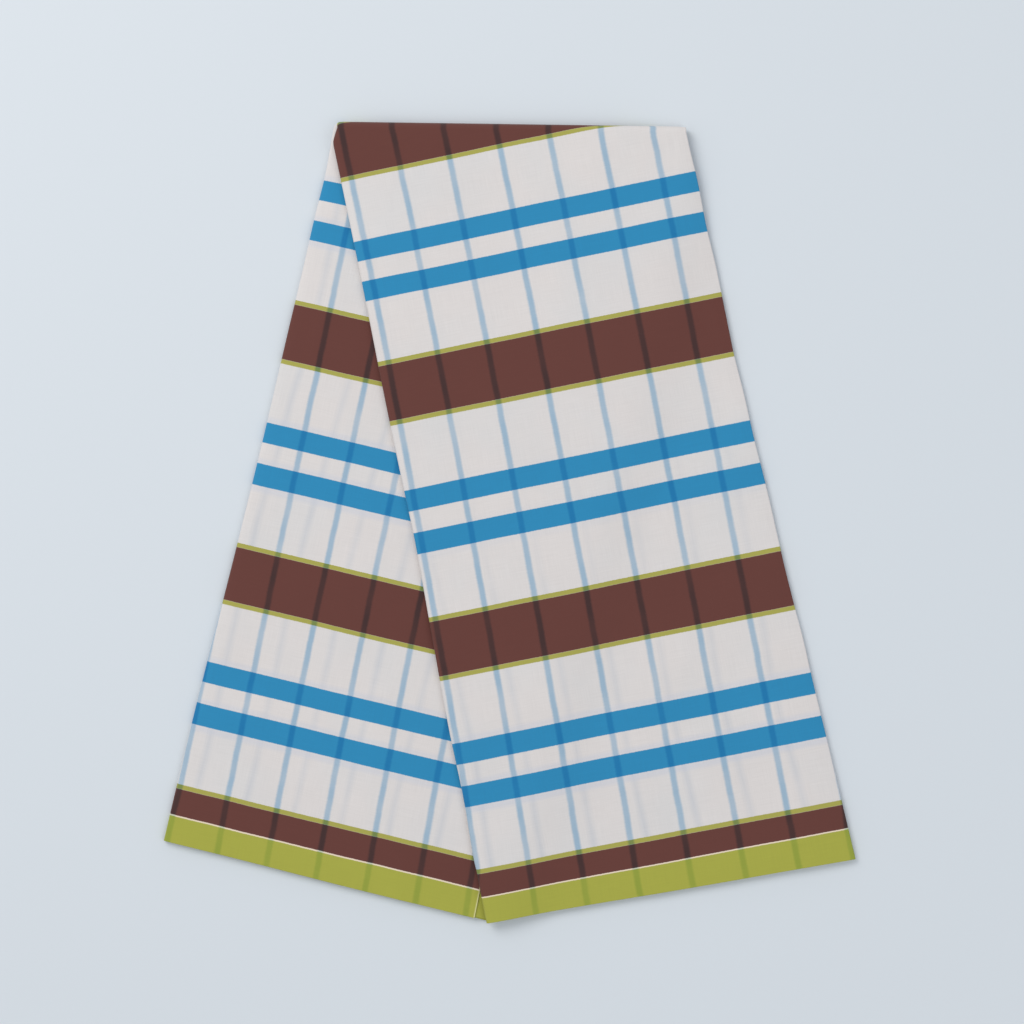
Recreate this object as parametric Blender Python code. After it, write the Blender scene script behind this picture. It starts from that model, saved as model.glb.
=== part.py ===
"""Longyi sarong, folded lengthwise into a strip eight cloths deep and doubled over one crease.

Metres, +Z up.  The strip lies flat: its lower half (the back leg) runs from the crease down to the
left, its upper half (the front leg) turns over the crease and runs down to the right, across the
back leg and off its right edge onto the table.  The outer cloth is a wall wound round the hidden
folds; it is made in three stretches (back leg, crease, front leg).  The six hidden cloths share one
rounded solid with layered edges.  Tables are in millimetres and are turned into metres by MM.
"""
import bpy
import bmesh
import math
import numpy as np

MM = 0.001

# ---- the stack: cloth walls and the air between them ------------------------------------------
WALL = 1.0            # outer cloth, as a wall
GAP = 0.3             # air between pieces
HIDDEN = 2.0          # the six hidden cloths together
STACK = 2 * WALL + 2 * GAP + HIDDEN          # one leg, 4.6 mm
LEG_GAP = 0.5                                # between the two legs where they touch
TURN = STACK + LEG_GAP / 2                   # radius of the crease, outside
FLAT_AT_CREASE = 3.0                         # flat cloth that stays with the crease piece
HIDDEN_CLOTHS = 6
EDGE_NOTCH = 0.30                            # depth of the groove between two hidden cloths
HEM_STAGGER = (0.2, 0.9, 0.4, 1.2, 0.6, 1.0)  # how far each hidden cloth stops short at the hem

# ---- where the woven threads lie on each leg ---------------------------------------------------
# Each row: height of a thread above the hem, then the plan position of the first and of the
# seventh thin woven line on that thread.
LINES_APART = 37.6
FRONT_ROWS = ((0.0, (-20.7, -297.3), (213.6, -254.4)),
              (203.6, (-52.7, -93.4), (172.8, -47.9)),
              (389.7, (-86.7, 95.5), (135.2, 141.0)),
              (575.8, (-122.9, 275.4), (98.5, 322.5)))
BACK_ROWS = ((0.0, (-217.7, -245.6), (2.0, -299.5)),
             (203.6, (-176.4, -44.6), (37.5, -95.6)),
             (389.7, (-138.1, 134.8), (73.7, 85.9)),
             (545.0, (-107.5, 284.5), (103.4, 237.7)))

# Folded edges: height above the hem, distance of the edge from the first thin line.
FRONT_LEFT = ((0, 3.5), (20, 2.5), (38, 1.9), (52, 0.9), (90, 0.5), (145, -2.1), (215, -3.2),
              (280, -3.5), (325, -5.0), (410, -6.5), (581, -6.6), (590, -3.0), (600, 3.0))
FRONT_RIGHT = ((0, 265.7), (40, 264.5), (95, 262.6), (133, 261.2), (160, 260.6), (181, 259.3),
               (208, 258.0), (270, 256.3), (310, 254.3), (335, 253.8), (375, 252.1), (430, 252.1),
               (465, 250.7), (504, 251.6), (534, 250.1), (606, 250.0))
BACK_LEFT = ((0, -39.7), (100, -36.6), (200, -32.6), (300, -29.6), (400, -27.7), (440, -26.6),
             (480, -25.8), (510, -24.4), (545, -25.0), (606, -26.0))
BACK_RIGHT = ((0, 208.0), (150, 214.0), (300, 222.0), (450, 231.0), (606, 240.6))
HEM_SLANT = {"front": -3.2, "back": -1.0}    # the hem drops by this much at its right end
RIGHT_TOP = {"front": 534.0, "back": 599.0}  # thread height of the right edge at the crease
TOP_FOLD_SHORT = {"front": (3.0, 3.0), "back": (11.0, 2.4)}   # the inner panel stops short by this
                                                              # at the hem, and at the crease

# ---- the crease and the slope of the front leg -------------------------------------------------
CREASE_LEFT = (-127.3, 296.1)
CREASE_RIGHT = (130.6, 292.4)
LEAN_FOOT = (-13.6, -300.0)          # the back leg's right edge at the hem, seen in plan
LEAN_OUT = 1.2                       # the slope starts this far outside that edge
SLOPE_WIDTH = 48.0                   # the front leg comes down to the table over this width
SLOPE_STEPS = 8

CENTRE = (-0.15, -0.25)              # middle of the whole plan, moved onto the origin

ROWS_PER_LEG = 15
TURN_STEPS = 14
ARC_STEPS = 7


# ---- small helpers -------------------------------------------------------------------------------
def clear_scene():
    for ob in list(bpy.data.objects):
        bpy.data.objects.remove(ob, do_unlink=True)


def smooth_table(table, x):
    """Value of a short table at x, eased between its entries: a cubic through slopes that are
    never more than twice the flatter side, so it does not swing past an entry."""
    xs = np.array([r[0] for r in table], float)
    ys = np.array([r[1] for r in table], float)
    steep = np.abs(np.diff(ys) / np.diff(xs))
    most = 2 * np.minimum(np.append(steep[:1], steep), np.append(steep, steep[-1:]))
    m = np.clip(np.gradient(ys, xs), -most, most)
    x = np.clip(np.asarray(x, float), xs[0] - 20, xs[-1] + 20)
    i = np.clip(np.searchsorted(xs, x) - 1, 0, len(xs) - 2)
    h = xs[i + 1] - xs[i]
    t = (x - xs[i]) / h
    a = (1 + 2 * t) * (1 - t) ** 2
    b = t * (1 - t) ** 2
    c = t * t * (3 - 2 * t)
    d = t * t * (t - 1)
    return a * ys[i] + b * h * m[i] + c * ys[i + 1] + d * h * m[i + 1]


class Leg:
    """One half of the strip: thread coordinates (across, up from the hem) to the plan."""

    def __init__(self, name, rows, left, right):
        self.name, self.rows, self.left, self.right = name, rows, left, right
        self.hem_slant = HEM_SLANT[name]

    def weights(self, v):
        """Cubic weights of the four rows at height v."""
        k = [r[0] for r in self.rows]
        out = []
        for i in range(4):
            w = np.ones_like(v)
            for j in range(4):
                if j != i:
                    w = w * (v - k[j]) / (k[i] - k[j])
            out.append(w)
        return out

    def plan(self, u, v):
        """Plan position (mm) of the thread crossing u, v."""
        u, v = np.asarray(u, float), np.asarray(v, float)
        t = u / (6 * LINES_APART)
        x, y = 0.0, 0.0
        for w, (_, a, b) in zip(self.weights(v), self.rows):
            x = x + w * ((1 - t) * a[0] + t * b[0])
            y = y + w * ((1 - t) * a[1] + t * b[1])
        return x, y

    def width(self, v):
        return smooth_table(self.right, v) - smooth_table(self.left, v)

    def crease_height(self, across):
        """Thread height v at which a point `across` mm from the left edge meets the crease axis."""
        v = np.full_like(across, 570.0)
        for _ in range(12):
            x, y = self.plan(smooth_table(self.left, v) + across, v)
            v = v + axis_distance(x, y)
        return v

    def at(self, across, fraction, back_off=0.0):
        """Plan position at `across` from the left edge; fraction 0 = crease axis, 1 = hem."""
        top = self.crease_height(across) - back_off
        hem = self.hem_slant * across / self.width(np.zeros_like(across))
        v = top * (1 - fraction) + hem * fraction
        return self.plan(smooth_table(self.left, v) + across, v)

    def width_at(self, fraction):
        """Width of the strip at a fraction of the way from crease to hem."""
        v = RIGHT_TOP[self.name] * (1 - fraction) + self.hem_slant * fraction
        w = float(self.width(v))
        if fraction < 0.12:
            w = w * (fraction / 0.12) + CREASE_WIDTH[self.name] * (1 - fraction / 0.12)
        return w


CREASE_DIR = np.subtract(CREASE_RIGHT, CREASE_LEFT)
CREASE_DIR = CREASE_DIR / np.hypot(*CREASE_DIR)
CREASE_OUT = np.array([-CREASE_DIR[1], CREASE_DIR[0]])          # away from the legs


def axis_distance(x, y):
    """Distance from a plan point out to the axis the cloth turns round."""
    return -TURN - ((x - CREASE_LEFT[0]) * CREASE_OUT[0] + (y - CREASE_LEFT[1]) * CREASE_OUT[1])


def crease_width(leg):
    """Across-distance on a leg at which its right edge reaches the right end of the crease."""
    across = 250.0
    for _ in range(20):
        x, y = leg.at(np.array([across]), 0.0)
        across += (CREASE_RIGHT[0] - 0.4 - x[0])
    return across


front = Leg("front", FRONT_ROWS, FRONT_LEFT, FRONT_RIGHT)
back = Leg("back", BACK_ROWS, BACK_LEFT, BACK_RIGHT)
CREASE_WIDTH = {"front": crease_width(front), "back": crease_width(back)}


# ---- the slope of the front leg ------------------------------------------------------------------
LEAN_DIR = np.subtract(CREASE_RIGHT, LEAN_FOOT)
LEAN_DIR = LEAN_DIR / np.hypot(*LEAN_DIR)
LEAN_OUTWARD = np.array([LEAN_DIR[1], -LEAN_DIR[0]])            # to the right of the back leg


def past_edge(x, y):
    return ((x - LEAN_FOOT[0]) * LEAN_OUTWARD[0] + (y - LEAN_FOOT[1]) * LEAN_OUTWARD[1]) - LEAN_OUT


def drop(d):
    """How far the front leg has come down at distance d past the back leg's edge (straight runs)."""
    knots = np.linspace(0.0, SLOPE_WIDTH, SLOPE_STEPS + 1)
    t = knots / SLOPE_WIDTH
    return np.interp(d, knots, (STACK + LEG_GAP) * t * t * (3 - 2 * t))


# ---- sections: points (distance from left edge or from right edge, height in the stack) ----------
def arc(cx, cq, r, a0, a1, n=ARC_STEPS):
    return [(cx + r * math.cos(a0 + (a1 - a0) * i / n), cq + r * math.sin(a0 + (a1 - a0) * i / n))
            for i in range(n + 1)]


def wrap_section(trim):
    """Outline of the outer cloth wall: the outer panel with its curled right edge, the left fold,
    and the inner panel.  Points are (side, across, height): side 'L' counts from the left edge,
    'R' from the right edge of the outer panel, 'S' from the right edge of the inner panel."""
    ro, ri = STACK / 2 - trim, STACK / 2 - WALL + trim
    mid, half = STACK / 2, math.pi / 2
    pts = []
    # outside face: up round the curled right edge, along the outer panel, round the left fold
    pts += [("R", x, q) for x, q in arc(-mid, mid, ro, 0.0, -half, 4)]
    pts += [("L", x, q) for x, q in arc(mid, mid, ro, -half, -3 * half, 2 * ARC_STEPS)]
    # rounded end of the inner panel
    pts += [("S", x, q) for x, q in arc(-WALL / 2, STACK - WALL / 2, WALL / 2 - trim, half, -half, 4)]
    # inside face, back again
    pts += [("L", x, q) for x, q in arc(mid, mid, ri, -3 * half, -half, 2 * ARC_STEPS)]
    pts += [("R", x, q) for x, q in arc(-mid, mid, ri, -half, 0.0, 4)]
    return pts


def hidden_section():
    """Outline of the hidden folds with a groove between each two cloths on the right side and a
    round left side.  Points are (side, across, height, hem stagger), right side up, left side down."""
    r = HIDDEN / 2
    base = WALL + GAP
    step = HIDDEN / HIDDEN_CLOTHS
    right, left = [], []
    for i in range(2 * HIDDEN_CLOTHS + 1):
        q = i * step / 2
        groove = EDGE_NOTCH if i % 2 == 0 else 0.0
        if i in (0, 2 * HIDDEN_CLOTHS):
            groove = EDGE_NOTCH / 2
        cloth = min(i // 2, HIDDEN_CLOTHS - 1)
        hem = HEM_STAGGER[cloth] + (0.5 if i % 2 == 0 else 0.0)
        edge = WALL + GAP + 0.8
        right.append(("R", -edge - groove - 0.25 * (cloth % 2), base + q, hem))
        bulge = math.sqrt(max(r * r - (q - r) ** 2, 0.0))
        left.append(("L", WALL + GAP + r - bulge, base + q, hem))
    return right + left[::-1]


# ---- sweeping a section along the strip ----------------------------------------------------------
def stations(kind):
    """Where rings are placed: ('back', fraction, back_off), ('turn', angle, 0) or ('front', ...)."""
    leg = [i / ROWS_PER_LEG for i in range(ROWS_PER_LEG + 1)]
    cut = FLAT_AT_CREASE
    if kind == "back":
        return [("back", f, cut + GAP) for f in leg[::-1]]
    if kind == "front":
        return [("front", f, cut + GAP) for f in leg]
    turn = [("turn", math.pi * i / TURN_STEPS, 0.0) for i in range(TURN_STEPS + 1)]
    if kind == "crease":
        return [("back", 0.0, cut)] + turn + [("front", 0.0, cut)]
    return ([("back", f, cut) for f in leg[::-1]] + turn + [("front", f, cut) for f in leg])


def short_of(leg, fraction):
    at_hem, at_crease = TOP_FOLD_SHORT[leg]
    return at_crease + (at_hem - at_crease) * fraction


def ring(section, station, hem_trim=0.0):
    """Place a section at a station and return its points in metres, still level (no slope)."""
    kind, t, off = station
    q = np.array([p[2] for p in section])
    stagger = np.array([p[3] if len(p) > 3 else 0.0 for p in section])

    def across(leg, fraction):
        w = leg.width_at(fraction)
        right = {"L": 0.0, "R": w, "S": w - short_of(leg.name, fraction)}
        return np.array([right[p[0]] + p[1] for p in section])

    if kind == "turn":
        xb, yb = back.at(across(back, 0.0), 0.0)
        xf, yf = front.at(across(front, 0.0), 0.0)
        m = t / math.pi
        r = TURN - q
        x = xb * (1 - m) + xf * m + r * math.sin(t) * CREASE_OUT[0]
        y = yb * (1 - m) + yf * m + r * math.sin(t) * CREASE_OUT[1]
        return np.stack([x, y, TURN - r * math.cos(t)], 1) * MM
    leg = back if kind == "back" else front
    a = across(leg, t)
    if t > 0.999:
        length = 600.0
        t = 1.0 - (stagger + hem_trim) / length
    x, y = leg.at(a, t, off)
    z = q if kind == "back" else 2 * TURN - q
    return np.stack([x, y, z], 1) * MM


def sweep(name, kind, section_of, caps, colour, chamfer):
    """Join rings into one closed body.  caps(n) gives the faces that close one end ring."""
    rings = []
    spots = stations(kind)
    for i, s in enumerate(spots):
        first, last = i == 0, i == len(spots) - 1
        if chamfer and (first or last):
            inner = ring(section_of(0.0), s, hem_trim=chamfer) if s[1] == 1.0 else None
            tip = ring(section_of(chamfer), s)
            if inner is None:
                rings.append(ring(section_of(0.0), s))
            else:
                rings += [tip, inner] if first else [inner, tip]
        else:
            rings.append(ring(section_of(0.0), s))
    n = len(rings[0])
    verts = np.concatenate(rings)
    faces = []
    for k in range(len(rings) - 1):
        a, b = k * n, (k + 1) * n
        faces += [(a + i, a + (i + 1) % n, b + (i + 1) % n, b + i) for i in range(n)]
    last = (len(rings) - 1) * n
    faces += [tuple(reversed(f)) for f in caps(n)]
    faces += [tuple(last + i for i in f) for f in caps(n)]

    bm = bmesh.new()
    vs = [bm.verts.new(v) for v in verts]
    for f in faces:
        bm.faces.new([vs[i] for i in f])
    slope_down(bm)
    bmesh.ops.recalc_face_normals(bm, faces=bm.faces)
    if bm.calc_volume(signed=True) < 0:
        bmesh.ops.reverse_faces(bm, faces=bm.faces)
    bmesh.ops.triangulate(bm, faces=bm.faces, quad_method="BEAUTY", ngon_method="BEAUTY")
    bmesh.ops.translate(bm, verts=bm.verts, vec=(-CENTRE[0] * MM, -CENTRE[1] * MM, 0.0))
    mesh = bpy.data.meshes.new(name)
    bm.to_mesh(mesh)
    bm.free()
    ob = bpy.data.objects.new(name, mesh)
    bpy.context.scene.collection.objects.link(ob)
    paint(ob, colour)
    return ob


def slope_down(bm):
    """Cut the body along the slope's straight runs, then lower the front leg run by run, so that
    pieces lying on each other keep their distance."""
    upper = (STACK + LEG_GAP / 2) * MM
    for i in range(SLOPE_STEPS + 1):
        d = (LEAN_OUT + SLOPE_WIDTH * i / SLOPE_STEPS) * MM
        point = (LEAN_FOOT[0] * MM + LEAN_OUTWARD[0] * d, LEAN_FOOT[1] * MM + LEAN_OUTWARD[1] * d, 0.0)
        bmesh.ops.bisect_plane(bm, geom=bm.verts[:] + bm.edges[:] + bm.faces[:], dist=1e-7,
                               plane_co=point, plane_no=(LEAN_OUTWARD[0], LEAN_OUTWARD[1], 0.0))
    for v in bm.verts:
        if v.co.z > upper:
            v.co.z -= float(drop(past_edge(v.co.x / MM, v.co.y / MM))) * MM


def paint(ob, colour):
    mat = bpy.data.materials.new(ob.name + "_cotton")
    mat.use_nodes = True
    bsdf = mat.node_tree.nodes["Principled BSDF"]
    bsdf.inputs["Base Color"].default_value = colour
    bsdf.inputs["Roughness"].default_value = 0.85
    ob.data.materials.append(mat)


def wrap_caps(n):
    """End faces of the outer wall: pair each outside point with the inside point behind it."""
    outer = 5 + 2 * ARC_STEPS + 1
    tip = 5
    # outside points 0..outer-1, tip points outer..outer+tip-1, inside points after them
    inside = list(range(n - 1, outer + tip - 1, -1))
    faces = [(i, i + 1, inside[i + 1], inside[i]) for i in range(outer - 1)]
    faces.append((outer - 1,) + tuple(range(outer, outer + tip)) + (inside[outer - 1],))
    return faces


def hidden_caps(n):
    """End faces of the hidden folds: one long strip from side to side per level."""
    return [(i, i + 1, n - 2 - i, n - 1 - i) for i in range(n // 2 - 1)]


def build():
    clear_scene()
    white = (0.70, 0.68, 0.66, 1.0)
    brown = (0.14, 0.055, 0.045, 1.0)
    sweep("back_leg_wrap", "back", wrap_section, wrap_caps, white, 0.2)
    sweep("crease_turn", "crease", wrap_section, wrap_caps, brown, 0.0)
    sweep("front_leg_wrap", "front", wrap_section, wrap_caps, white, 0.2)
    sweep("hidden_folds", "all", lambda trim: hidden_section(), hidden_caps, white, 0.0)


build()
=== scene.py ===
"""Longyi sarong in thin checked cotton, folded in eight lengthwise, doubled over one crease and laid
flat.  The cloth is worked out as one folded tube: a closed section of eight cloths carried from the
front hem, round the crease, to the back hem.  Lengths are millimetres unless a name says otherwise."""
import bpy
import math
import numpy as np
from collections import namedtuple
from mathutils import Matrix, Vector


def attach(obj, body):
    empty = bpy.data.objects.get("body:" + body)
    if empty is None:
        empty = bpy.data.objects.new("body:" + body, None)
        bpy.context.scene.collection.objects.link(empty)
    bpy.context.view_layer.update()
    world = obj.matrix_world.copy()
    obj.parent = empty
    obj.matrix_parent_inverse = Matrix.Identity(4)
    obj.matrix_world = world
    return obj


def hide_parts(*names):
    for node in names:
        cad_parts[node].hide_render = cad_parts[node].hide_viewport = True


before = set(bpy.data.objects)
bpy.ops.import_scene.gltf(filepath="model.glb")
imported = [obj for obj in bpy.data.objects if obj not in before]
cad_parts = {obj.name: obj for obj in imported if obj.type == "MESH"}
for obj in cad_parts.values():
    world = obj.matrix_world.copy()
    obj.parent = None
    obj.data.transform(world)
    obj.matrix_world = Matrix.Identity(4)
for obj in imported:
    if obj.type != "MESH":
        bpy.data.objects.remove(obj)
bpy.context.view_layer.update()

MM = 0.001
MM_PER_M = 1000.0
PI = math.pi

# ---- the folded strip (the same sizes as its solids) -------------------------------------------
CLOTHS = 8
STACK = 4.6                       # one leg, eight cloths and the air between them
LEG_GAP = 0.5                     # between the two legs where they touch
TURN = STACK + LEG_GAP / 2        # outside radius of the crease
CLOTH = 0.30                      # thickness of the cotton
STEP = (STACK - CLOTH) / (CLOTHS - 1)        # from one cloth to the next
LINES_APART = 37.6
SIX_LINES = 6 * LINES_APART       # from the first thin line to the seventh
HEIGHT = 1151.6                   # the longyi from selvedge to selvedge
CENTRE = (-0.15, -0.25)           # middle of the whole plan, moved onto the origin

# Where the woven threads lie on each leg.  Each row: height of a thread above the hem, then the plan
# position of the first and of the seventh thin line on that thread.
FRONT_ROWS = ((0.0, (-20.7, -297.3), (213.6, -254.4)),
              (203.6, (-52.7, -93.4), (172.8, -47.9)),
              (389.7, (-86.7, 95.5), (135.2, 141.0)),
              (575.8, (-122.9, 275.4), (98.5, 322.5)))
BACK_ROWS = ((0.0, (-217.7, -245.6), (2.0, -299.5)),
             (203.6, (-176.4, -44.6), (37.5, -95.6)),
             (389.7, (-138.1, 134.8), (73.7, 85.9)),
             (545.0, (-107.5, 284.5), (103.4, 237.7)))

# Folded edges.  Each row: height above the hem, distance of the edge from the first thin line.
FRONT_LEFT = ((0, 3.5), (20, 2.5), (38, 1.9), (52, 0.9), (90, 0.5), (145, -2.1), (215, -3.2),
              (280, -3.5), (325, -5.0), (410, -6.5), (581, -6.6), (590, -3.0), (600, 3.0))
FRONT_RIGHT = ((0, 265.7), (40, 264.5), (95, 262.6), (133, 261.2), (160, 260.6), (181, 259.3),
               (208, 258.0), (270, 256.3), (310, 254.3), (335, 253.8), (375, 252.1), (430, 252.1),
               (465, 250.7), (504, 251.6), (534, 250.1), (606, 250.0))
BACK_LEFT = ((0, -39.7), (100, -36.6), (200, -32.6), (300, -29.6), (400, -27.7), (440, -26.6),
             (480, -25.8), (510, -24.4), (545, -25.0), (606, -26.0))
BACK_RIGHT = ((0, 208.0), (150, 214.0), (300, 222.0), (450, 231.0), (606, 240.6))
HEM_SLANT = {"front": -3.2, "back": -1.0}    # the hem drops by this much at its right end
RIGHT_TOP = {"front": 534.0, "back": 599.0}  # thread height of the right edge at the crease

CREASE_LEFT = (-127.3, 296.1)
CREASE_RIGHT = (130.6, 292.4)
CREASE_INSET = 0.4                # the right edge turns this far inside the crease's right end
CREASE_SHARE = 0.12               # share of a leg over which its width settles to the crease's
LEAN_FOOT = (-13.6, -300.0)       # the back leg's right edge at the hem, seen in plan
LEAN_OUT = 1.2                    # the slope starts this far outside that edge
SLOPE_WIDTH = 48.0                # the front leg comes down to the table over this width

# The cloth is not woven and drawn quite evenly.  Each row: height above the hem, how far a stripe
# sits off its even place.
FRONT_DRAWN = ((0, 0), (41, 0), (100, 0.3), (134, 0.8), (180, 0.25), (226, -0.5), (273, -1.1),
               (320, -1.1), (367, 0), (412, 0.4), (460, -0.8), (492, -1.75), (572, -1.5), (592, -0.2),
               (606, 0))
BACK_DRAWN = ((0, 0), (20, 0), (38, 2.0), (41, 1.9), (87, 0.8), (103, 1.6), (134, 1.7), (180, -0.6),
              (230, -0.5), (273, -1.5), (289, -0.4), (320, -0.4), (367, -0.8), (411, 0.9), (459, 1.1),
              (606, 1.3))

# The two looser lips of the open side: how far each stops short (at the crease, at the hem), and how
# it wanders (size, radians of wave from crease to hem, radians at the crease).
LIP_SHORT = {"front": ((2.2, 2.4), (3.0, 3.0)), "back": ((2.2, 2.4), (5.0, 11.0))}
LIP_WAVES = ((0.35, 17, 1.0), (0.45, 13, 2.0))

# The cloths at the hem, lowest to highest: how far each stops short.  Those that do also wander
# (size, run, shift from cloth to cloth).
HEM_SHORT = (0.0, 0.9, 0.4, 1.2, 0.6, 1.1, 0.5, 0.0)
HEM_WAVES = ((0.25, 23.0, 1.7), (0.15, 7.5, 1.0))
HEM_INSET, HEM_SWAY, HEM_SWAY_RUN = 0.25, 0.2, 31.0        # all the cloths at a hem alike

# Soft troughs and ridges pressed into the cloth: place across (0 left to 1 right), height above the
# hem, half width, half length, lean of the run in degrees, rise.
FRONT_RIPPLES = (
    (0.10, 470, 9, 150, 0, 0.35), (0.32, 250, 12, 190, 3, 0.45), (0.52, 420, 10, 160, -2, 0.40),
    (0.70, 180, 14, 150, 4, 0.55), (0.86, 330, 10, 200, 0, 0.45), (0.22, 70, 11, 80, -4, 0.60),
    (0.48, 60, 12, 90, 2, 0.55), (0.90, 60, 12, 90, 3, 0.60), (0.62, 560, 26, 14, 0, 0.35),
    (0.30, 575, 30, 10, 0, 0.30), (0.64, 300, 60, 12, 8, 0.22), (0.40, 150, 70, 10, -6, 0.22))
BACK_RIPPLES = (
    (0.10, 380, 8, 150, 0, 0.45), (0.22, 210, 10, 140, 3, 0.55), (0.38, 130, 12, 120, -2, 0.50),
    (0.55, 90, 12, 90, 2, 0.55), (0.08, 90, 10, 80, -3, 0.45), (0.72, 50, 11, 60, 0, 0.50),
    (0.25, 300, 60, 11, -8, 0.22), (0.40, 60, 60, 9, 6, 0.22))
RIPPLES_START = 0.03              # share of a leg below the crease over which ripples set in
UNDER_FRONT, UNDER_EASE = 2, 22   # ripples of the back leg end this near the front leg, over this width
FRONT_FOOT_Y, FRONT_REACH = -300.0, 590.0    # plan y of the front leg's foot, and its length in y
LEG_TOP = 600                     # the front leg's edge is read no higher than this

SHOULDER = 0.14                   # share of its height a leg loses towards its side edges
SHOULDER_WIDTH = 7.0
TURN_HOLD = 0.3                   # share of the turn that still follows the front leg

ROWS = 90                         # rings from crease to hem on each leg
EXTRA_ROWS = (0.0056, 0.0169, 0.9975, 0.9996, 1.0)   # and more, close to the crease and the hem
TURN_ROWS = 18
ACROSS = 44                       # points across a cloth that shows
ACROSS_HIDDEN = 30                # enough that no cloth cuts another where the front leg comes down
CROWDED = 0.65                    # share of their spacing that crowds them towards the side folds
NEAR_EDGE = ((0.9, 0.0), (0.25, 0.5))        # last points before the open side: distance in, share of the painted edge highlight

PAST_TABLE = 20                   # a table may be read this far past its ends
FIRST_HEIGHT, HEIGHT_ROUNDS = 570.0, 12      # first guess and rounds of correction at the crease
FIRST_WIDTH, WIDTH_ROUNDS = 250.0, 20


def smooth_table(table, x):
    """Value of a short table at x, eased between its entries: a cubic through slopes that are
    never more than twice the flatter side, so it does not swing past an entry."""
    xs = np.array([r[0] for r in table], float)
    ys = np.array([r[1] for r in table], float)
    steep = np.abs(np.diff(ys) / np.diff(xs))
    most = 2 * np.minimum(np.append(steep[:1], steep), np.append(steep, steep[-1:]))
    m = np.clip(np.gradient(ys, xs), -most, most)
    x = np.clip(np.asarray(x, float), xs[0] - PAST_TABLE, xs[-1] + PAST_TABLE)
    i = np.clip(np.searchsorted(xs, x) - 1, 0, len(xs) - 2)
    h = xs[i + 1] - xs[i]
    t = (x - xs[i]) / h
    return ((1 + 2 * t) * (1 - t) ** 2 * ys[i] + t * (1 - t) ** 2 * h * m[i]
            + t * t * (3 - 2 * t) * ys[i + 1] + t * t * (t - 1) * h * m[i + 1])


def ease(t):
    """0 up to t = 0, 1 from t = 1, and a smooth step between."""
    t = np.clip(t, 0.0, 1.0)
    return t * t * (3 - 2 * t)


def grow(x, start, over):
    """0 up to start, then eased up to 1."""
    return ease((x - start) / over)


def fade(x, start, over):
    """1 up to start, then eased down to 0."""
    return 1 - ease((x - start) / over)


CREASE_DIR = np.subtract(CREASE_RIGHT, CREASE_LEFT)
CREASE_DIR = CREASE_DIR / np.hypot(*CREASE_DIR)
CREASE_OUT = np.array([-CREASE_DIR[1], CREASE_DIR[0]])          # away from the legs
LEAN_DIR = np.subtract(CREASE_RIGHT, LEAN_FOOT)
LEAN_DIR = LEAN_DIR / np.hypot(*LEAN_DIR)
LEAN_OUTWARD = np.array([LEAN_DIR[1], -LEAN_DIR[0]])            # to the right of the back leg


class Leg:
    """One half of the strip.  plan(u, v): the point where the thread u mm from the first thin line
    meets the thread v mm above the hem; straight along u, a cubic through four rows along v."""

    def __init__(self, name, rows, left, right, ripples, drawn):
        self.name, self.rows, self.left, self.right, self.ripples = name, rows, left, right, ripples
        self.drawn = drawn
        self.hem_slant = HEM_SLANT[name]
        self.crease_width = self.width_at_crease()

    def plan(self, u, v):
        k = [r[0] for r in self.rows]
        t = u / SIX_LINES
        x = y = 0.0
        for i in range(4):
            w = 1.0
            for j in range(4):
                if j != i:
                    w = w * (v - k[j]) / (k[i] - k[j])
            a, b = self.rows[i][1], self.rows[i][2]
            x = x + w * ((1 - t) * a[0] + t * b[0])
            y = y + w * ((1 - t) * a[1] + t * b[1])
        return x, y

    def width(self, v):
        return smooth_table(self.right, v) - smooth_table(self.left, v)

    def crease_height(self, across):
        """v at which a point `across` from the left edge meets the axis of the crease."""
        v = np.full_like(across, FIRST_HEIGHT)
        for _ in range(HEIGHT_ROUNDS):
            x, y = self.plan(smooth_table(self.left, v) + across, v)
            v = v - TURN - ((x - CREASE_LEFT[0]) * CREASE_OUT[0] + (y - CREASE_LEFT[1]) * CREASE_OUT[1])
        return v

    def width_at_crease(self):
        """Distance across at which the right edge reaches the right end of the crease."""
        reach = np.array([FIRST_WIDTH])
        for _ in range(WIDTH_ROUNDS):
            v = self.crease_height(reach)
            x, _y = self.plan(smooth_table(self.left, v) + reach, v)
            reach = reach + (CREASE_RIGHT[0] - CREASE_INSET - x)
        return float(reach[0])

    def thread_height(self, across, fraction, short):
        """v from the crease axis (fraction 0) to the hem (fraction 1), less what stops short."""
        top = self.crease_height(across)
        hem = self.hem_slant * across / self.width(np.zeros_like(across)) + short
        return top * (1 - fraction) + hem * fraction

    def width_at(self, fraction):
        """Width of the strip at a fraction of the way from crease to hem."""
        w = self.width(RIGHT_TOP[self.name] * (1 - fraction) + self.hem_slant * fraction)
        near = np.clip(fraction / CREASE_SHARE, 0, 1)
        return np.where(fraction < CREASE_SHARE, w * near + self.crease_width * (1 - near), w)

    def rise(self, across, v):
        """Soft ripples: each a bell across its run and along it."""
        w = self.width(v)
        h = np.zeros_like(across)
        for place, at, half_w, half_l, lean, rise in self.ripples:
            s, c = math.sin(math.radians(lean)), math.cos(math.radians(lean))
            dx, dv = across - place * w, v - at
            a, b = dx * c - dv * s, dx * s + dv * c
            h = h + rise * np.exp(-(a / half_w) ** 2 - (b / half_l) ** 2)
        return h

    def shoulder(self, across, fraction):
        """Share of the height left at a point: a leg thins a little toward its side edges."""
        d = np.minimum(across, self.width_at(fraction) - across)
        return 1 - SHOULDER * (1 - ease(d / SHOULDER_WIDTH))


front = Leg("front", FRONT_ROWS, FRONT_LEFT, FRONT_RIGHT, FRONT_RIPPLES, FRONT_DRAWN)
back = Leg("back", BACK_ROWS, BACK_LEFT, BACK_RIGHT, BACK_RIPPLES, BACK_DRAWN)


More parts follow.
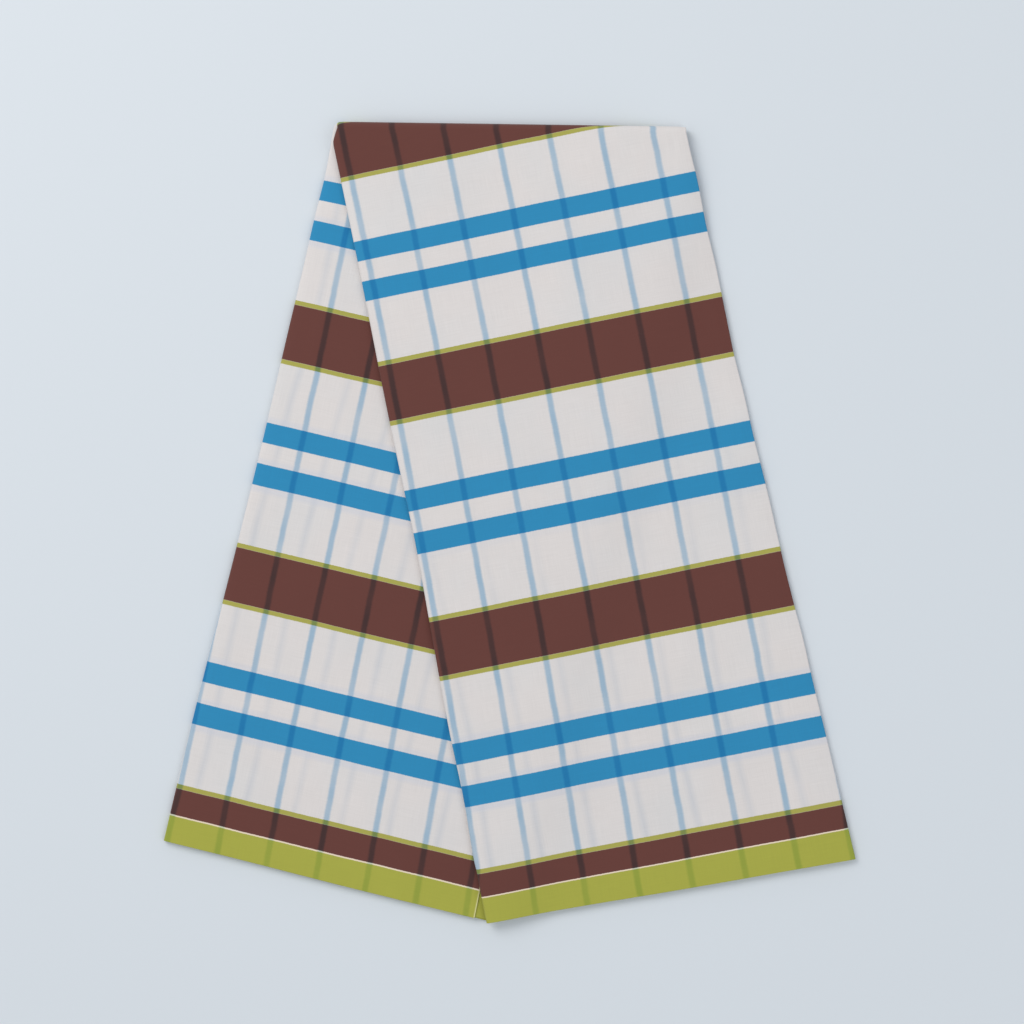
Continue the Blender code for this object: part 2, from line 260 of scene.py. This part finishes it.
def past_edge(x, y):
    """Distance out past the back leg's right edge."""
    return (x - LEAN_FOOT[0]) * LEAN_OUTWARD[0] + (y - LEAN_FOOT[1]) * LEAN_OUTWARD[1] - LEAN_OUT


def drop(d):
    """How far the front leg has come down at distance d past that edge."""
    return (STACK + LEG_GAP) * ease(d / SLOPE_WIDTH)


# ---- the section: columns of the folded loop ---------------------------------------------------
# A column's place across is constant + share * width - lip_1 * first lip - lip_2 * second lip.  Its
# turn is how far round the left fold it is, its rule says how it takes its threads, and its last field
# marks the pressed edge, where a highlight is painted on the cloth.
Column = namedtuple("Column", "constant share lip_1 lip_2 height cloth turn rule worn")
OUTER, INNER, FOLD, LOOSE = range(4)                # the rules
MIDDLE = STACK / 2                                  # middle of the stack, and of its left fold
R3, R1 = 1.5 * STEP, 0.5 * STEP                     # radius of a fold round two cloths, and round none


def height(k):
    return CLOTH / 2 + k * STEP


def run(k, lip, radius, n, toward_right, turn, rule):
    """Points along cloth k between its left fold and its right fold."""
    g = np.linspace(0, 1, n)
    if n == ACROSS:
        g = CROWDED * (0.5 - 0.5 * np.cos(PI * g)) + (1 - CROWDED) * g
    row = [Column(MIDDLE * (1 - t) - radius * t, t, t * (lip == 1), t * (lip == 2), height(k), k, turn,
                  rule, float(t == 1.0 and lip == 2)) for t in g]
    # these keep the pressed edge of the open side, and the highlight painted along it, narrow
    row[-1:-1] = [Column(-radius - off, 1.0, lip == 1, lip == 2, height(k), k, turn, rule,
                         edge_highlight * (lip == 2)) for off, edge_highlight in NEAR_EDGE]
    return row if toward_right else row[::-1]


def left_fold(k_from, n, turn, rule):
    """Half circle at the left side from cloth k_from to its partner as far from the middle."""
    r = (k_from - (CLOTHS - 1) / 2) * STEP
    return [Column(MIDDLE - abs(r) * math.sin(a), 0, 0, 0, MIDDLE + r * math.cos(a), k_from,
                   turn + a / PI, rule, 0.0) for a in np.linspace(0, PI, n + 2)[1:-1]]


def right_fold(k_from, k_to, lip, n, turn, rule):
    """Half circle at the open side from cloth k_from to k_to."""
    r = abs(k_to - k_from) * STEP / 2
    mid = (height(k_from) + height(k_to)) / 2
    up = 1 if k_from > k_to else -1
    return [Column(-r + r * math.sin(a), 1, lip == 1, lip == 2, mid + up * r * math.cos(a), k_from, turn,
                   rule, float(lip == 2)) for a in np.linspace(0, PI, n + 2)[1:-1]]


# The two folds that join the cloth that shows to the hidden cloths, and the point where each is cut.
LIP, LIP_CUT = right_fold(6, 7, 2, 7, 1, INNER), 3
CURL, CURL_CUT = right_fold(0, 3, 0, 9, 0, OUTER), 4


def outer_columns():
    """The cloth that shows: half a lip, the top cloth of the back leg, the left fold, the cloth that
    is lowest on the back leg and highest on the front leg, and its curled right edge."""
    return (LIP[LIP_CUT:] + run(7, 2, R1, ACROSS, False, 1, INNER)
            + left_fold(7, 12, 0, FOLD)
            + run(0, 0, R3, ACROSS, True, 0, OUTER) + CURL[:CURL_CUT + 1])


def inner_columns():
    """The six hidden cloths, in the order in which the cloth runs through them."""
    n = ACROSS_HIDDEN
    tucked = [c._replace(constant=c.constant - STEP) for c in right_fold(2, 1, 0, 5, 0, LOOSE)]
    return (CURL[CURL_CUT:] + run(3, 0, R3, n, False, 0, LOOSE) + left_fold(3, 5, 0, LOOSE)
            + run(4, 1, R1, n, True, 0, LOOSE) + right_fold(4, 5, 1, 5, 0, LOOSE)
            + run(5, 1, R1, n, False, 0, LOOSE) + left_fold(5, 7, 0, LOOSE)
            + run(2, 0, R1 + STEP, n, True, 0, LOOSE) + tucked
            + run(1, 0, R1 + STEP, n, False, 0, LOOSE) + left_fold(1, 9, 0, LOOSE)
            + run(6, 2, R1, n, True, 0, LOOSE) + LIP[:LIP_CUT + 1])


FOLD_TAKES = 1.5                  # cloth taken up by the left fold between its two faces
SLIP = 9.2                        # how much further round the back leg's lowest cloth is at the crease
LOOSE_START = 11.0                # where the threads of the hidden cloths start


def threads(leg, rule, turn, across, v):
    """Woven coordinates of a point: round the tube from the front leg's first thin line, and up the
    strip from the front hem.  The lines beside a side fold are drawn a little to one side."""
    left = smooth_table(leg.left, v)
    if leg.name == "front":
        outer, inner = left, left - FOLD_TAKES
    else:
        inner = -LINES_APART - left
        outer = inner + FOLD_TAKES + SLIP * grow(v, 520, 70)
    u = np.where(rule == OUTER, outer + across, inner - across)
    fold = (inner - MIDDLE) * (1 - turn) + (outer + MIDDLE) * turn
    u = np.where(rule == FOLD, fold, np.where(rule == LOOSE, across + LOOSE_START, u))
    if leg.name == "front":
        # by the left fold the lines lie to the right, except the first at the hem; so does the cloth
        # by the right edge
        pulled = (3.4 * fade(v, 26, 14) * fade(np.abs(u), 3, 20)
                  - (1.4 + 1.0 * fade(v, 90, 150)) * fade(np.abs(u), 3, 70)
                  - (1.2 + 1.6 * grow(v, 15, 30)) * grow(u, 232, 30))
        up = v - smooth_table(leg.drawn, v)
    else:
        # on the top cloth all lines lie a little to the right, the farthest more, and the one by the
        # fold more but for the hem
        by_fold = grow(u, -15, 14)
        pulled = 0.7 + 1.6 * by_fold - 1.5 * fade(v, 12, 34) * by_fold + 1.1 * grow(-u, 165, 40)
        up = HEIGHT - (v - smooth_table(leg.drawn, v))
    return u + pulled, up


def carried(columns):
    """Carry the section from the front hem, round the crease, to the back hem.  Returns plan x and y,
    height, the two woven coordinates and the painted highlight, each with one row for each ring."""
    def column(name):
        return np.array([float(getattr(c, name)) for c in columns])[None, :]

    constant, share, lip_1, lip_2, q, k, round_fold, rule, edge_highlight = map(column, Column._fields)
    stops = np.array(HEM_SHORT)[k.astype(int)]
    f = np.sort(np.append(np.linspace(0, 1, ROWS)[:-1], EXTRA_ROWS))[:, None]

    def across(leg, fraction):
        lips = [at_crease + (at_hem - at_crease) * fraction + size * np.sin(fraction * waves + start)
                for (at_crease, at_hem), (size, waves, start) in zip(LIP_SHORT[leg.name], LIP_WAVES)]
        return constant + share * leg.width_at(fraction) - lip_1 * lips[0] - lip_2 * lips[1]

    parts = {}
    for leg in (front, back):
        a = across(leg, f)
        wander = sum(size * np.sin(a / along + k * shift) for size, along, shift in HEM_WAVES)
        v = leg.thread_height(a, f, stops + HEM_INSET + wander * (stops > 0)
                              + HEM_SWAY * np.sin(a / HEM_SWAY_RUN))
        x, y = leg.plan(smooth_table(leg.left, v) + a, v)
        ripples = leg.rise(a, v) * ease(f / RIPPLES_START)
        if leg is front:
            up = STACK - q
            z = 2 * TURN - STACK + up * leg.shoulder(a, f) - drop(past_edge(x, y))
        else:
            up = q
            z = up * leg.shoulder(a, f)
            # the part under the front leg stays pressed flat
            top = front.crease_height(np.zeros_like(x))
            beside = np.clip(top * (y - FRONT_FOOT_Y) / FRONT_REACH, 0, LEG_TOP)
            edge_x, _edge_y = front.plan(smooth_table(front.left, beside), beside)
            ripples = ripples * ease((edge_x - UNDER_FRONT - x) / UNDER_EASE)
        z = z + ripples * (up / STACK) ** 2
        parts[leg.name] = (x, y, z) + threads(leg, rule, round_fold, a, v)

    # round the crease: the front leg's threads run over the top and meet the back leg's underneath
    t = (np.arange(1, TURN_ROWS) / TURN_ROWS)[:, None]
    ends = []
    for leg in (front, back):
        a = across(leg, np.zeros((1, 1)))
        v = leg.crease_height(a)
        x, y = leg.plan(smooth_table(leg.left, v) + a, v)
        s = leg.shoulder(a, 0.0)
        r = LEG_GAP / 2 + (STACK - q) * s if leg is front else TURN - q * s
        ends.append((x, y, r) + threads(leg, rule, round_fold, a, v))
    (xf, yf, rf, uf, vf), (xb, yb, rb, ub, vb) = ends
    m = ease((t - TURN_HOLD) / (1 - TURN_HOLD))
    r = rf * (1 - t) + rb * t
    out = r * np.sin(t * PI)
    crease = (xf * (1 - m) + xb * m + out * CREASE_OUT[0], yf * (1 - m) + yb * m + out * CREASE_OUT[1],
              TURN + r * np.cos(t * PI), uf * (1 - m) + ub * m, vf * (1 - t) + vb * t)
    rings = [np.concatenate([on_front[::-1], np.broadcast_to(on_crease, (TURN_ROWS - 1, q.size)), on_back])
             for on_front, on_crease, on_back in zip(parts["front"], crease, parts["back"])]
    past_crease = (np.arange(len(rings[0])) > len(f) + TURN_ROWS)[:, None]
    return rings + [edge_highlight * past_crease]


def link(name, data):
    """A new object at the origin that holds the data, in the scene."""
    ob = bpy.data.objects.new(name, data)
    bpy.context.scene.collection.objects.link(ob)
    return ob


def cloth(name, columns, material, nodes):
    """A thin shell of cotton over the carried columns, with its woven coordinates as its UV map."""
    x, y, z, u, v, edge_highlight = carried(columns)
    rows, cols = x.shape
    points = np.stack([x - CENTRE[0], y - CENTRE[1], z], -1).reshape(-1, 3) * MM
    i = (np.arange(rows - 1)[:, None] * cols + np.arange(cols - 1)[None, :]).reshape(-1)
    faces = np.stack([i, i + 1, i + cols + 1, i + cols], 1)
    mesh = bpy.data.meshes.new(name)
    mesh.from_pydata(points, [], faces)
    mesh.shade_smooth()
    layer = mesh.uv_layers.new(name="woven")
    loops = np.empty(len(mesh.loops), int)
    mesh.loops.foreach_get("vertex_index", loops)
    woven = np.stack([u.reshape(-1), v.reshape(-1)], 1) * MM
    layer.data.foreach_set("uv", woven[loops].reshape(-1))
    # the pressed edge of the open side, where a highlight is painted on the cloth
    painted_highlight = mesh.attributes.new("painted_highlight", "FLOAT", "POINT")
    painted_highlight.data.foreach_set("value", edge_highlight.reshape(-1).astype(np.float32))
    mesh.materials.append(material)
    ob = link(name, mesh)
    shell = ob.modifiers.new("cotton", "SOLIDIFY")
    shell.thickness = CLOTH * MM
    shell.offset = 0.0
    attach(ob, "root")
    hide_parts(*nodes)
    return ob


# ---- shader helpers ------------------------------------------------------------------------------
def math_node(kind, flipped=False):
    """A method that adds one Math node for a value; flipped puts the other value first."""
    def method(value, other=None):
        first, second = (other, value) if flipped else (value, other)
        return value.make.node("ShaderNodeMath", {"operation": kind}, first, second)
    return method


class Val:
    """A number socket; arithmetic on it adds Math nodes."""

    def __init__(self, make, socket):
        self.make, self.socket = make, socket

    __add__, __radd__ = math_node("ADD"), math_node("ADD", flipped=True)
    __sub__, __rsub__ = math_node("SUBTRACT"), math_node("SUBTRACT", flipped=True)
    __mul__, __rmul__ = math_node("MULTIPLY"), math_node("MULTIPLY", flipped=True)
    __truediv__, __rtruediv__ = math_node("DIVIDE"), math_node("DIVIDE", flipped=True)
    min, max, mod = math_node("MINIMUM"), math_node("MAXIMUM"), math_node("FLOORED_MODULO")
    floor, abs, sin = math_node("FLOOR"), math_node("ABSOLUTE"), math_node("SINE")

    def clamp(self):
        return self.max(0.0).min(1.0)


class Maker:
    """Adds nodes to one material."""

    def __init__(self, name):
        self.material = bpy.data.materials.new(name)
        self.material.use_nodes = True
        self.tree = self.material.node_tree
        self.bsdf = self.tree.nodes["Principled BSDF"]

    def node(self, kind, settings=None, *inputs, out=0, **named):
        """A node with its settings made first, then the numbers or links of its sockets; a socket
        given as None keeps its own value."""
        n = self.tree.nodes.new(kind)
        for key, value in (settings or {}).items():
            setattr(n, key, value)
        for key, value in list(enumerate(inputs)) + list(named.items()):
            if value is None:
                continue
            socket = n.inputs[key.replace("_", " ") if isinstance(key, str) else key]
            if isinstance(value, Val):
                self.tree.links.new(value.socket, socket)
            else:
                socket.default_value = value
        return Val(self, n.outputs[out])

    def mix(self, factor, a, b):
        """Colour a where factor is 0, b where it is 1."""
        skipped = [None] * 5
        return self.node("ShaderNodeMix", {"data_type": "RGBA"}, factor, *skipped, a, b, out=2)

    def blotches(self, x, y, seed=0.0, detail=2.0):
        """Soft noise from 0 to 1, with a blotch about every 1 of x and of y."""
        where = self.node("ShaderNodeCombineXYZ", None, x, y, seed)
        return self.node("ShaderNodeTexNoise", {"noise_dimensions": "3D"}, Vector=where, Scale=1.0,
                         Detail=detail, Roughness=0.5)

    def speck(self, number):
        """A different number from 0 to 1 for each whole number."""
        return self.node("ShaderNodeTexWhiteNoise", {"noise_dimensions": "1D"}, W=number)

    def set(self, **sockets):
        """Set shader sockets to numbers or colours, the same all over the surface."""
        for key, value in sockets.items():
            self.bsdf.inputs[key.replace("_", " ")].default_value = value

    def feed(self, socket, value):
        self.tree.links.new(value.socket, self.bsdf.inputs[socket])


def seen(r, g, b, lift=1.0):
    """A colour seen as r, g, b out of 255, as linear light."""
    def lin(c):
        c = c / 255
        return (c / 12.92 if c <= 0.04045 else ((c + 0.055) / 1.055) ** 2.4) * lift
    return (lin(r), lin(g), lin(b), 1.0)


def dye(rgb):
    return seen(*rgb, LIFT)


def above(x, low, soft):
    """0 up to low and 1 from there, with an edge `soft` mm wide."""
    return ((x - low) / soft + 0.5).clamp()


def below(x, high, soft):
    """1 up to high and 0 from there, with an edge `soft` mm wide."""
    return ((high - x) / soft + 0.5).clamp()


def band(x, low, high, soft=0.5):
    """1 between low and high."""
    return above(x, low, soft) * below(x, high, soft)


# ---- the weave -------------------------------------------------------------------------------------
WHITE_A, BLUE, WHITE_B, WHITE_C, LIME, BROWN = 46.3, 15.4, 15.7, 46.3, 3.3, 40.4
GROUND = WHITE_A + BLUE + WHITE_B + BLUE + WHITE_C
REPEAT = GROUND + 2 * LIME + BROWN
SECOND_BLUE = WHITE_A + BLUE + WHITE_B                     # where the second blue stripe starts
BORDER_LIME, BORDER_CORD, BORDER_BROWN = 19.5, 0.8, 17.4
BORDER = BORDER_LIME + BORDER_CORD + BORDER_BROWN + LIME
PAST_HEM = -5.0                                            # the lime runs on to here past the hem
LINE_HALF, LINE_SOFT = 2.15, 1.6                           # a thin line's half width, and its edge
YARN = 0.46                                                # from one yarn to the next

# how far one yarn steps a stripe's edge and a line's, and how far they stray over more
STRIPE_STEP, LINE_STEP = 0.2, 0.25
STRIPE_STRAY, LINE_STRAY, LINE_WAVER = 1.2, 0.8, 1.3
SPECK_SHIFT = 700.0                                        # keeps the two sets of yarns unlike

# dyes as they look, out of 255: on their own, and where a thin line crosses
LIFT = 0.98                                                # share of its light that every dye keeps
PLAIN_DYES = {"blue": (42, 136, 182), "brown": (101, 58, 51), "lime": (167, 168, 69),
              "edging": (168, 164, 80), "cord": (236, 216, 190)}
LINED_DYES = {"blue": (23, 117, 170), "brown": (65, 43, 42), "lime": (145, 156, 60),
              "edging": (114, 132, 74), "cord": (196, 198, 172)}
LINE_DYE = (155, 180, 199)
WHITE, COOL_WHITE = (220, 214, 211), (209, 212, 213)
# painted shade where the lines and stripes of the cloths underneath show through the white
LINE_SHADE_BENEATH, STRIPE_SHADE_BENEATH = (196, 198, 203), (198, 202, 214)
# a highlight painted on the pressed edge, where the fold would catch the light
HIGHLIGHT_COLOUR = (240, 232, 176)


def checked_cotton():
    """Plain-woven cotton: stripes round the tube, thin blue lines up it, yarns, slubs and the faint
    shadows of the cloths underneath, painted into the colour."""
    m = Maker("checked_cotton")
    uv = m.node("ShaderNodeUVMap", {"uv_map": "woven"})
    u = m.node("ShaderNodeSeparateXYZ", None, uv, out="X") * MM_PER_M
    v = m.node("ShaderNodeSeparateXYZ", None, uv, out="Y") * MM_PER_M
    rise = v.min(HEIGHT - v)                                   # from the nearer hem

    # threads step the edges of the stripes and lines a little
    step_u = m.speck((u / YARN).floor())
    step_v = m.speck((v / YARN).floor() + SPECK_SHIFT)
    drift = m.blotches(u * 0.012, v * 0.012)
    waver = m.blotches(u * 0.02, v * 0.05, 11.0)
    h = rise + (step_u - 0.5) * STRIPE_STEP + (drift - 0.5) * STRIPE_STRAY
    off = u + (step_v - 0.5) * LINE_STEP + (drift - 0.5) * LINE_STRAY + (waver - 0.5) * LINE_WAVER

    def from_nearest_line(across):
        return ((across + LINES_APART / 2).mod(LINES_APART) - LINES_APART / 2).abs()

    # the thin lines, paler here and there
    strength = (0.9 + (m.blotches(u * 0.03, v * 0.03, 17.0) - 0.5) * 0.8).clamp()
    line = below(from_nearest_line(off), LINE_HALF, LINE_SOFT) * strength

    # the stripes: the repeat above the border, then the border
    r = (h - BORDER).mod(REPEAT)
    body = above(h, BORDER, 0.4)
    blue = (band(r, WHITE_A, WHITE_A + BLUE) + band(r, SECOND_BLUE, SECOND_BLUE + BLUE)) * body
    brown = (band(r, GROUND + LIME, GROUND + LIME + BROWN) * body
             + band(h, BORDER_LIME + BORDER_CORD, BORDER - LIME)).clamp()
    cord = band(h, BORDER_LIME, BORDER_LIME + BORDER_CORD, 0.3)
    lime = band(h, PAST_HEM, BORDER_LIME)
    edging = ((band(r, GROUND, GROUND + LIME) + band(r, REPEAT - LIME, REPEAT + 1)) * body
              + band(h, BORDER - LIME, BORDER + 0.1)).clamp()

    def striped(white, dyes):
        """The stripes over a white, in the order in which they cover each other."""
        c = white
        for name, stripe in (("blue", blue), ("brown", brown), ("lime", lime), ("edging", edging),
                             ("cord", cord)):
            c = m.mix(stripe, c, dye(dyes[name]))
        return c

    # painted shade: the cloths underneath show through the white as shadows painted into it, more towards
    # the front hem and on the back leg; each of their lines lies beside one of the top cloth's
    through = ((330.0 - v) / 240.0).clamp() * 0.9 + ((v - 590.0) / 60.0).clamp() * 0.75 + 0.12
    cool = ((m.blotches(u * 0.016, v * 0.012, 21.0, 3.0) - 0.42) * 3.0).clamp()
    on_front = ((575.0 - v) / 20.0).clamp()
    beside = on_front * (rise * 0.02 - 12.0) + (1.0 - on_front) * (rise * 0.035 + 10.5)
    wander = (m.blotches(u * 0.004, v * 0.006, 3.0, 1.0) - 0.5) * 14.0
    shadow = below(from_nearest_line(u + beside + wander), 2.0, 4.5) * (0.6 + cool * 0.6) * through
    after_first, after_second = WHITE_A + BLUE, SECOND_BLUE + BLUE
    shadows_of_blue = (band(r, WHITE_A - 4.5, WHITE_A, 3.0) + band(r, after_first, after_first + 3.5, 3.0)
                       + band(r, after_second, after_second + 4.0, 3.0)).clamp() * body * through

    plain = m.mix(cool * 0.4, dye(WHITE), dye(COOL_WHITE))
    plain = m.mix(shadow * 0.75, plain, dye(LINE_SHADE_BENEATH))
    plain = m.mix(shadows_of_blue * 0.45, plain, dye(STRIPE_SHADE_BENEATH))
    colour = m.mix(line, striped(plain, PLAIN_DYES), striped(dye(LINE_DYE), LINED_DYES))
    # a pale highlight painted along the pressed edge of the open side, where the fold would catch the
    # light
    painted_highlight = m.node("ShaderNodeAttribute", {"attribute_name": "painted_highlight"}, out="Fac")
    colour = m.mix(painted_highlight * 0.8, colour, dye(HIGHLIGHT_COLOUR))

    # yarns: plain weave, with slubs that run along each thread
    over = (u * (PI / YARN)).sin() * (v * (PI / YARN)).sin()
    slub_up = m.blotches(u * 1.6, v * 0.05) - 0.5
    slub_round = m.blotches(u * 0.05, v * 1.6, 9.0) - 0.5
    broad = m.blotches(u * 0.02, v * 0.02, 5.0, 3.0) - 0.5
    tone = 0.985 + over.abs() * 0.05 + slub_up * 0.10 + slub_round * 0.10 + broad * 0.06
    m.feed("Base Color", m.node("ShaderNodeVectorMath", {"operation": "SCALE"}, colour, Scale=tone))
    m.feed("Roughness", 0.80 + slub_up * 0.12)
    rough = over * 0.5 + slub_up * 0.8 + slub_round * 0.8
    m.feed("Normal", m.node("ShaderNodeBump", None, Strength=0.35, Distance=0.00012, Height=rough))
    m.set(Specular_IOR_Level=0.25, Sheen_Weight=0.12, Sheen_Roughness=0.5)
    return m.material


# ---- the table, light and camera (metres) ----------------------------------------------------------
TABLE_HALF = 40.0                 # half of its side, so that its edge stays far off
TABLE_DROP = 0.0003               # how far it lies below the lowest cloth
SEEN_WIDTH = 0.75776              # width of the view at the height below
SEEN_HEIGHT = 0.004
SEEN_CENTRE = (0.00178, 0.00765)
LENS_MM, SENSOR_MM = 85.0, 36.0
ROOM_LIGHT, ROOM_POWER = (0.93, 0.96, 1.0, 1.0), 0.62


def table_top():
    """The plain pale surface that the longyi lies on."""
    mesh = bpy.data.meshes.new("table_top")
    sides = ((-1, -1), (1, -1), (1, 1), (-1, 1))
    corners = [(x * TABLE_HALF, y * TABLE_HALF, -TABLE_DROP) for x, y in sides]
    mesh.from_pydata(corners, [], [(0, 1, 2, 3)])
    m = Maker("pale_surface")
    m.set(Base_Color=seen(214, 220, 225), Roughness=0.9)
    mesh.materials.append(m.material)
    ob = link("table_top", mesh)
    return ob


def lamp(name, place, size, power, tint):
    """A round soft lamp that faces the middle of the table."""
    data = bpy.data.lights.new(name, "AREA")
    data.shape = "DISK"
    data.size = size
    data.energy = power
    data.color = tint
    ob = link(name, data)
    ob.location = place
    ob.rotation_euler = (-Vector(place)).to_track_quat("-Z", "Y").to_euler()


def room_light():
    world = bpy.data.worlds.new("soft_room")
    world.use_nodes = True
    background = world.node_tree.nodes["Background"]
    background.inputs["Color"].default_value = ROOM_LIGHT
    background.inputs["Strength"].default_value = ROOM_POWER
    bpy.context.scene.world = world


def overhead_camera():
    """A camera straight above, far enough up to see SEEN_WIDTH."""
    lens = bpy.data.cameras.new("overhead")
    lens.lens = LENS_MM
    lens.sensor_width = SENSOR_MM
    camera = link("overhead", lens)
    camera.location = (*SEEN_CENTRE, SEEN_WIDTH * LENS_MM / SENSOR_MM + SEEN_HEIGHT)
    bpy.context.scene.camera = camera
    bpy.context.scene.view_settings.view_transform = "Standard"


# ---- build -----------------------------------------------------------------------------------------
cotton = checked_cotton()
outer = cloth("outer_cloth", outer_columns(), cotton, ("back_leg_wrap", "crease_turn", "front_leg_wrap"))
inner = cloth("hidden_cloths", inner_columns(), cotton, ("hidden_folds",))
table = table_top()
lamp("window", place=(-1.5, 1.5, 2.0), size=1.8, power=40.0, tint=(1.0, 0.985, 0.965))
lamp("fill", place=(1.8, -1.0, 2.2), size=2.4, power=15.0, tint=(0.97, 0.98, 1.0))
room_light()
overhead_camera()
